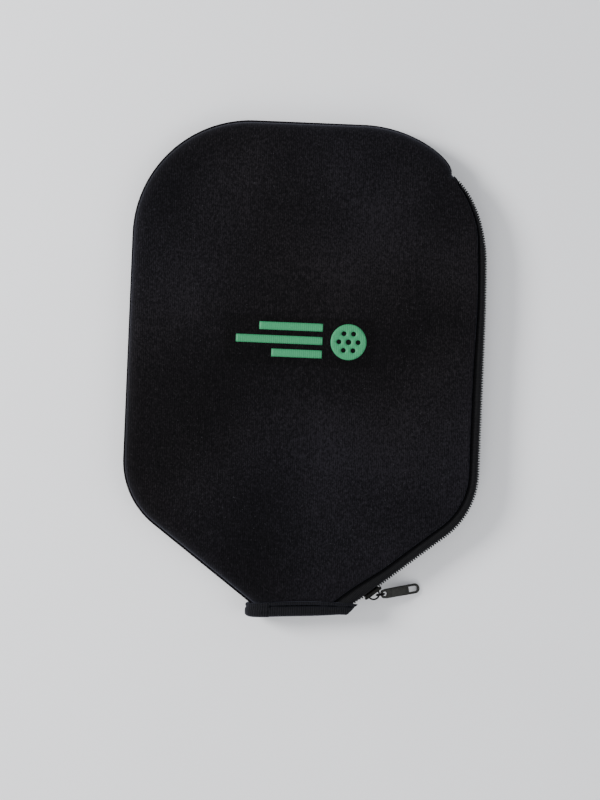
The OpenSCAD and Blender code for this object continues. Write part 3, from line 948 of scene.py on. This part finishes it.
def plate(name, outlines, thickness, bevel, to_world):
    """A flat plate with holes and rounded edges, from closed outlines in its own plane."""
    cu = bpy.data.curves.new(name, "CURVE")
    cu.dimensions = "2D"
    cu.fill_mode = "BOTH"
    cu.extrude = thickness / 2 - bevel
    cu.bevel_depth = bevel
    cu.bevel_resolution = 3
    for pts in outlines:
        sp = cu.splines.new("POLY")
        sp.points.add(len(pts) - 1)
        for q, (x, y) in zip(sp.points, pts):
            q.co = (x, y, 0, 1)
        sp.use_cyclic_u = True
    tmp = add_object(name + "_curve", cu)
    me = bpy.data.meshes.new_from_object(tmp.evaluated_get(bpy.context.evaluated_depsgraph_get()))
    bpy.data.objects.remove(tmp)
    faces = [tuple(p.vertices) for p in me.polygons]
    o = build(name, [to_world(*v.co) for v in me.vertices], faces, "slider")
    outward(o.data, merge=2e-6)
    sharp_angle(o)
    return o


def sharp_angle(o, degrees=32):
    """Keeps flat faces flat and rounded edges smooth."""
    bm = bmesh.new()
    bm.from_mesh(o.data)
    for e in bm.edges:
        e.smooth = not (len(e.link_faces) == 2 and e.calc_face_angle(0) > math.radians(degrees))
    bm.to_mesh(o.data)
    bm.free()
    o.data.polygons.foreach_set("use_smooth", [True] * len(o.data.polygons))


def arc_pts(cx, cy, r, a0, a1, n):
    return [(cx + r * math.cos(a), cy + r * math.sin(a)) for a in np.radians(np.linspace(a0, a1, n))]


def joined(name, parts):
    """One object from several."""
    bm = bmesh.new()
    for p in parts:
        bm.from_mesh(p.data)
    me = bpy.data.meshes.new(name)
    bm.to_mesh(me)
    bm.free()
    me.materials.append(parts[0].data.materials[0])
    for p in parts:
        bpy.data.objects.remove(p)
    return add_object(name, me)


# slider: outer and inner plates with a rounded nose, lips on the outer one, and the post between them
SL, SH = 5.75, 3.9        # half its length and half its height
nose = (arc_pts(-SL + 2.6, -SH + 2.6, 2.6, 270, 180, 7) + arc_pts(-SL + 2.6, SH - 2.6, 2.6, 180, 90, 7)
        + arc_pts(SL - 1.4, SH - 1.9, 1.4, 90, 0, 6) + arc_pts(SL - 1.4, -SH + 1.9, 1.4, 0, -90, 6))
outer_plate = plate("outer", [nose], 1.25, 0.4, lambda x, y, z: slider_point(x, -1.5 - z, y))
inner_plate = plate("inner", [nose], 1.1, 0.35, lambda x, y, z: slider_point(x, 3.95 + z, y))
post = plate("post", [arc_pts(0, 0, 1.2, 0, 330, 12)], 4.8, 0.2,
             lambda x, y, z: slider_point(-SL + 2.3 + x * 1.2, 1.2 + z, y * 0.5))
lip = [(-SL + 1.8, -0.42), (SL - 1.5, -0.42), (SL - 1.2, 0),
       (SL - 1.5, 0.42), (-SL + 1.8, 0.42), (-SL + 1.5, 0)]
lips = [plate("lip", [lip], 1.7, 0.25, lambda x, y, z, g=sign: slider_point(x, -0.65 + z, g * 3.42 + y))
        for sign in (-1, 1)]
o = joined("slider_casting", [outer_plate, inner_plate, post] + lips)
sharp_angle(o)
place(o, "slider", "slider_metal", "slider_body")

# bridge: a wire bow over the outer plate
BR, BOW_Y = 3.4, -2.1     # radius and centre of the bow
bow = [slider_point(x, y, 0) for x, y in arc_pts(0, BOW_Y, BR, 0, -180, 25)]
v, f = tube([slider_point(BR, -1.4, 0)] + bow + [slider_point(-BR, -1.4, 0)], 0.56, 12)
o = build("slider_bow", v, f, "slider")
place(o, "slider", "slider_metal", "slider_bridge")

# link ring
WIRE = np.array([BR * math.cos(math.radians(-45)), BOW_Y + BR * math.sin(math.radians(-45))])
W_XY = S_ORG + T_AXIS * WIRE[0] + IN_AXIS * WIRE[1]
RING_R, RING_WIRE = 2.5, 0.47
PULL_A = SLIDE_A + math.radians(-27)
U = np.array([math.cos(PULL_A), math.sin(PULL_A)])
ACROSS = left(U)
ring_c = W_XY + U * 0.9
rv, rf = [], []
for a in np.linspace(0, 2 * math.pi, 40, endpoint=False):
    for w in np.linspace(0, 2 * math.pi, 12, endpoint=False):
        rr = RING_R + RING_WIRE * math.cos(w)
        q = ring_c + U * rr * math.cos(a) + ACROSS * RING_WIRE * math.sin(w)
        rv.append((q[0], q[1], MID + rr * math.sin(a)))
for i in range(40):
    for k in range(12):
        j, side = (i + 1) % 40, (k + 1) % 12
        rf.append((i * 12 + k, i * 12 + side, j * 12 + side, j * 12 + k))
o = build("pull_link", rv, rf, "ring")
place(o, "link", "ring_metal", "link_ring")

# pull tab
TILT = math.radians(21.3)
B_XY = W_XY + U * 1.9


def tab_point(x, y, z):
    """x runs from the link to the far end, y is across and z is out of the face."""
    along = x - 0.55
    y = y - 0.04 * along      # turned a little in its ring
    q = B_XY + U * (along * math.cos(TILT) + z * math.sin(TILT)) + ACROSS * y
    return q[0], q[1], MID - along * math.sin(TILT) + z * math.cos(TILT)


TL, TW = 26.0, 2.9        # length and half the width
outline = (arc_pts(1.5, 0.9, 1.5, 180, 105, 6) + [(3.2, 2.75)] + arc_pts(TL - TW, 0, TW, 90, -90, 21)
           + [(3.2, -2.75)] + arc_pts(1.5, -0.9, 1.5, 255, 180, 6))
near_hole = [(1.15, -1.35), (1.15, 1.35)] + arc_pts(2.0, 0, 1.9, 62, -62, 12)
far_hole = (arc_pts(TL - 3.1, 0, 1.95, 80, -80, 15) + arc_pts(TL - 7.0, -1.55, 0.4, 270, 180, 5)
            + arc_pts(TL - 7.0, 1.55, 0.4, 180, 90, 5))
tab = plate("tab", [outline, near_hole, far_hole], 1.0, 0.28, tab_point)
raised = plate("raised", [[(6.6, -1.9), (17.6, -1.9), (17.6, 1.9), (6.6, 1.9)]], 0.24, 0.1,
               lambda x, y, z: tab_point(x, y, z + 0.53))
o = joined("pull_plate", [tab, raised])
sharp_angle(o)
place(o, "pull", "slider_metal", "pull_tab")


def clamp(name, s, d, z, half):
    """A stop: a small folded metal clamp on the coil. half is its half size along, across and up."""
    p, out, along = frame_at(ZIP, s)
    verts, sides = [], 20
    c = rounded(0, 0, half[1], half[2], sides, 4.0)
    for t, g in ((-1, 0.75), (-0.8, 1), (0.8, 1), (1, 0.75)):
        for u, w in c * g:
            q = p - out * (d + u) + along * half[0] * t
            verts.append((q[0], q[1], z + w))
    o = build(name, verts, capped(4, sides), "stop")
    sharp_angle(o, 50)
    return o


end_s = ZIP.s[-1] - 1.6
place(clamp("stop_top", ZIP.s[0] + 3.6, 1.7, MID, (0.9, 1.1, 3.0)), "case", "stop_metal", "zip_top_stop")
place(clamp("stop_end_front", end_s, 2.7, 12.55, (0.9, 1.2, 1.35)), "flap", "stop_metal", "zip_end_stop_flap")
place(clamp("stop_end_back", end_s, 0.95, 7.6, (0.9, 1.2, 1.3)), "case", "stop_metal", "zip_end_stop_back")


# ------------------------------------------------------------------ mouth binding
def ribs(x):
    return 0.10 * np.sin(2 * math.pi * x / 2.7) + 0.06 * np.sin(2 * math.pi * x / 1.13 + 1)


def round_end(x):
    """Drop of the tape where it turns round the closed end of the mouth."""
    t = np.clip((MOUTH_END_X - x) / 12.15, 0, 0.95)
    return 9.15 * (1 - np.sqrt(1 - t * t)) + 0.5 * smooth(-x, 25.5, 27.5)


def band_front(x0, x1, name):
    """A folded tape over the front edge of the mouth, seen as a padded roll with a stitched groove."""
    xs = np.linspace(x0, x1, 120)
    loops, painted_groove_shade = [], []
    for x in xs:
        top, low = band_top(x), band_low(x)
        right = smooth(x, 29.0, 37.0)
        swell = 0.22 * math.sin(x / 7.0) + ribs(x) * (0.25 + 0.75 * smooth(x, 0, 12))
        sec = []
        # outer face from the top lip to the lower fold, with a dip where the stitches pull it down
        for t in np.linspace(0, 1, 19):
            y = top + (low - top) * t
            groove = -1.8 * math.exp(-((t - 0.27) / 0.07) ** 2)
            roll = 0.95 * math.sin(math.pi * min(1, t / 0.26)) ** 0.6 if t < 0.26 else 0
            body = 0.9 * math.sin(math.pi * (t - 0.3) / 0.7) ** 0.7 if t > 0.3 else 0
            z = 18.75 + groove + 0.55 * roll + 0.8 * body + swell * (0.3 if abs(t - 0.3) < 0.08 else 1)
            z -= 0.55 * right + round_end(x)
            if t > 0.86:
                z -= 1.6 * ((t - 0.86) / 0.14) ** 2
            if t < 0.06:
                z -= 0.8 * ((0.06 - t) / 0.06)
            sec.append((y, z))
            # painted shade in the stitched groove and along the top lip, where the tape meets the panel
            painted_groove_shade.append(math.exp(-((t - 0.28) / 0.06) ** 2) * smooth(x, -16, -8) + max(0, 1 - t / 0.05))
        # the hidden inner face gets the full painted shade
        painted_groove_shade += [1.0] * 5
        inner = ((low + 0.1, 16.95), (low + 0.9, 16.3), (low + 2.5, 16.1), (top - 1.0, 16.1), (top - 0.1, 16.7))
        sec += [(y, z - round_end(x)) for y, z in inner]
        loops.append(sec)
    loops = np.array(loops)
    n, m = loops.shape[:2]
    x = np.repeat(xs[:, None], m, 1)
    # the right end is cut on a slant that follows the zipper
    slant = smooth(x, x1 - 26, x1)
    x = x + slant * (loops[:, :, 0] + 144.0) * 0.95
    verts = np.stack([x, loops[:, :, 0], loops[:, :, 1]], 2).reshape(-1, 3)
    run = np.zeros((n * m, 3))
    run[:, 0] = verts[:, 0]
    run[:, 1] = painted_groove_shade
    return build(name, verts, capped(n, m), "binding", run=run)


o = band_front(-27.5, 36.6, "mouth_tape_front")
place(o, "fold", "binding_tape", "mouth_binding_flap")


def band_case(name):
    """The tape on the case's side of the mouth: across the back, then up round the closed end."""
    back_count, centre = 60, np.array([MOUTH_END_X, MID])
    line = [(x, 1.9) for x in np.linspace(35.0, MOUTH_END_X, back_count)]
    line += [(centre[0] + 11.0 * math.cos(a), centre[1] + 8.0 * math.sin(a))
             for a in np.radians(np.linspace(-90, -270, 27))[1:]]
    line = np.array(line + [(-17.5, 17.95), (-15.5, 17.7)])
    tan = np.gradient(line, axis=0)
    tan /= np.linalg.norm(tan, axis=1)[:, None]
    nrm = np.stack([tan[:, 1], -tan[:, 0]], 1)
    length = np.concatenate([[0], np.cumsum(np.linalg.norm(np.diff(line, axis=0), axis=1))])
    away = np.where((np.arange(len(line)) < back_count)[:, None], np.array([[0.0, -1.0]]), line - centre)
    nrm[np.einsum("ij,ij->i", nrm, away) < 0] *= -1
    rows = []
    for (px, pz), (nx, nz), s in zip(line, nrm, length):
        rib = 0.07 * math.sin(2 * math.pi * s / 2.7)
        tip, low = float(band_top(px)), float(band_low(px))
        sec = []
        for t in np.linspace(0, 1, 15):
            h = 1.15 + rib
            if t > 0.3:
                h += 0.25 * math.sin(math.pi * (t - 0.3) / 0.7)
            h -= 0.5 * math.exp(-((t - 0.30) / 0.06) ** 2)
            if t > 0.86:
                h -= 1.2 * ((t - 0.86) / 0.14) ** 2
            if t < 0.06:
                h -= 0.6
            sec.append((tip + (low - tip) * t, h))
        sec += [(low + 0.15, -1.0), (low + 1.2, -1.3), (tip - 0.9, -1.3), (tip - 0.1, -0.8)]
        rows.append([(px + nx * h, y, pz + nz * h) for y, h in sec])
    n, m = len(rows), len(rows[0])
    verts = np.array(rows).reshape(-1, 3)
    # the right end is slanted to match the front
    x, y = verts[:, 0], verts[:, 1]
    verts[:, 0] = np.where(x > 8, x + smooth(x, 10, 35) * (y + 144.0) * 0.85, x)
    verts[:, 2] = np.maximum(verts[:, 2], 0.05)
    run = np.zeros((len(verts), 3))
    run[:, 0] = np.repeat(length, m)
    return build(name, verts, capped(n, m), "binding", run=run)


o = band_case("mouth_tape_case")
place(o, "case", "binding_tape", "mouth_binding")

# stitches of the mouth tape
xs = np.linspace(-23.5, 27.0, 84)
y = band_top(xs) + (band_low(xs) - band_top(xs)) * 0.27
pts = np.column_stack([xs, y, 17.55 - round_end(xs)])
up = np.tile([0, 0, 1.0], (len(xs), 1))
place(stitches("mouth_stitches_front", pts, up, 2.4, 0.7, 0.21), "fold", "thread", "mouth_thread_flap")
pts = np.column_stack([xs, y, np.full(len(xs), 1.15)])[xs > -17]
place(stitches("mouth_stitches_back", pts, -up[xs > -17], 2.4, 0.7, 0.21), "case", "thread", "mouth_thread")


# ------------------------------------------------------------------ printed mark on the front
def circle_pts(cx, cy, r, n):
    turn = np.linspace(0, 2 * math.pi, n, endpoint=False)
    return [(cx + r * math.cos(a), cy + r * math.sin(a)) for a in turn]


def bar_pts(x0, x1, y, h):
    n = max(2, int((x1 - x0) / 2.0))
    low = [(x0 + (x1 - x0) * i / n, y - h) for i in range(n + 1)]
    high = [(x0 + (x1 - x0) * i / n, y + h) for i in range(n, -1, -1)]
    return low + high


def inside(p, poly):
    """Whether a point is inside a polygon."""
    x, y = p
    c = False
    for i in range(len(poly)):
        (x0, y0), (x1, y1) = poly[i], poly[i - 1]
        if (y0 > y) != (y1 > y) and x < (x1 - x0) * (y - y0) / (y1 - y0) + x0:
            c = not c
    return c


def print_patch(boundary, holes):
    """A filled outline cut into small triangles so that it can lie on the soft front."""
    bx = [p[0] for p in boundary]
    by = [p[1] for p in boundary]
    gx, gy = np.meshgrid(np.arange(min(bx), max(bx), 1.6), np.arange(min(by), max(by), 1.6))
    cand = [(x, y) for x, y in zip(gx.ravel(), gy.ravel()) if inside((x, y), boundary)
            and not any(inside((x, y), h) for h in holes)]
    edge = list(boundary) + [p for h in holes for p in h]
    cand = [p for p in cand if min((p[0] - q[0]) ** 2 + (p[1] - q[1]) ** 2 for q in edge) > 0.5]
    pts = edge + cand
    loops, first = [], 0
    for ring in [boundary] + list(holes):
        loops.append([first + i for i in range(len(ring))])
        first += len(ring)
    edges = [(lp[i], lp[(i + 1) % len(lp)]) for lp in loops for i in range(len(lp))]
    res = delaunay_2d_cdt([Vector(p) for p in pts], edges, [], 0, 1e-7)
    p2 = [tuple(v) for v in res[0]]
    tris = []
    for t in res[2]:
        c = (sum(p2[i][0] for i in t) / 3, sum(p2[i][1] for i in t) / 3)
        if inside(c, boundary) and not any(inside(c, h) for h in holes):
            tris.append(t)
    return p2, tris


BALL_X = 26
holes = [circle_pts(BALL_X, 0, 1.7, 18)]
holes += [circle_pts(BALL_X + 5.9 * math.cos(a), 5.9 * math.sin(a), 1.5, 18)
          for a in np.radians(np.arange(0, 360, 60))]
MARKS = [(circle_pts(BALL_X, 0, 11, 64), holes)]
MARKS += [(bar_pts(x0, 10, y, 2.4), []) for x0, y in ((-43, 0), (-29, 8.2), (-21, -8.2))]
pv, pf = [], []
for boundary, holes in MARKS:
    p2, tris = print_patch(boundary, holes)
    used = sorted({i for t in tris for i in t})
    count = len(used)
    back_to = {u: i for i, u in enumerate(used)}
    x = np.array([p2[u][0] for u in used])
    y = np.array([p2[u][1] for u in used]) + PRINT_Y
    z = top_height(x, y, inside_depth(x, y))
    base = len(pv)
    pv += [(a, b, c + 0.09) for a, b, c in zip(x, y, z)] + [(a, b, c - 0.05) for a, b, c in zip(x, y, z)]
    directed = {}      # each edge as its triangle goes round it; one without its reverse is on the rim
    for t in tris:
        q = [back_to[i] for i in t]
        area = sum(x[q[i]] * y[q[(i + 1) % len(q)]] - x[q[(i + 1) % len(q)]] * y[q[i]] for i in range(len(q)))
        q = q if area > 0 else q[::-1]
        pf.append(tuple(base + i for i in q))
        pf.append(tuple(base + count + i for i in q[::-1]))
        for i in range(len(q)):
            directed[(q[i], q[(i + 1) % len(q)])] = 1
    for a, b in directed:
        if (b, a) not in directed:
            pf.append((base + b, base + a, base + count + a, base + count + b))
o = build("green_mark", pv, pf, "print")
place(o, "case", "print_film", "front_print")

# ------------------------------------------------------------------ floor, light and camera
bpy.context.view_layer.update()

floor, nt, bsdf = nodes_of("pale_floor")
pale = ramp(nt, noise(nt, coords(nt), 9, 2), [(0.3, (0.93, 0.93, 0.93)), (0.7, (0.95, 0.95, 0.95))])
feed(nt, bsdf, Base_Color=pale, Roughness=0.9)
bpy.ops.mesh.primitive_plane_add(size=4, location=(0, 0, -0.0004))
plane = bpy.context.object
plane.name = "floor"
plane.data.materials.append(floor)


def lamp(name, loc, size, power, color=(1, 1, 1)):
    d = bpy.data.lights.new(name, "AREA")
    d.shape = "DISK"
    d.size = size
    d.energy = power
    d.color = color
    o = add_object(name, d)
    o.location = loc
    o.rotation_euler = (-Vector(loc)).to_track_quat("-Z", "Y").to_euler()


lamp("key", (-1.15, 0.30, 0.80), 0.5, 25, (0.98, 0.98, 1.0))
lamp("fill", (0.95, -0.25, 1.0), 0.9, 5, (0.96, 0.98, 1.0))
lamp("front", (-0.2, -0.95, 0.9), 0.8, 4)
world = bpy.data.worlds.new("studio")
world.use_nodes = True
sky = world.node_tree.nodes["Background"]
sky.inputs[0].default_value = (0.92, 0.94, 1.0, 1)
sky.inputs[1].default_value = 0.62
bpy.context.scene.world = world

cam = bpy.data.cameras.new("camera")
cam.lens = 85
cam.sensor_width = 36
cam.sensor_fit = "HORIZONTAL"
co = add_object("camera", cam)
co.location = (-0.0022, -0.0186, 0.885)
co.rotation_euler = (0, 0, math.radians(2.4))
bpy.context.scene.camera = co
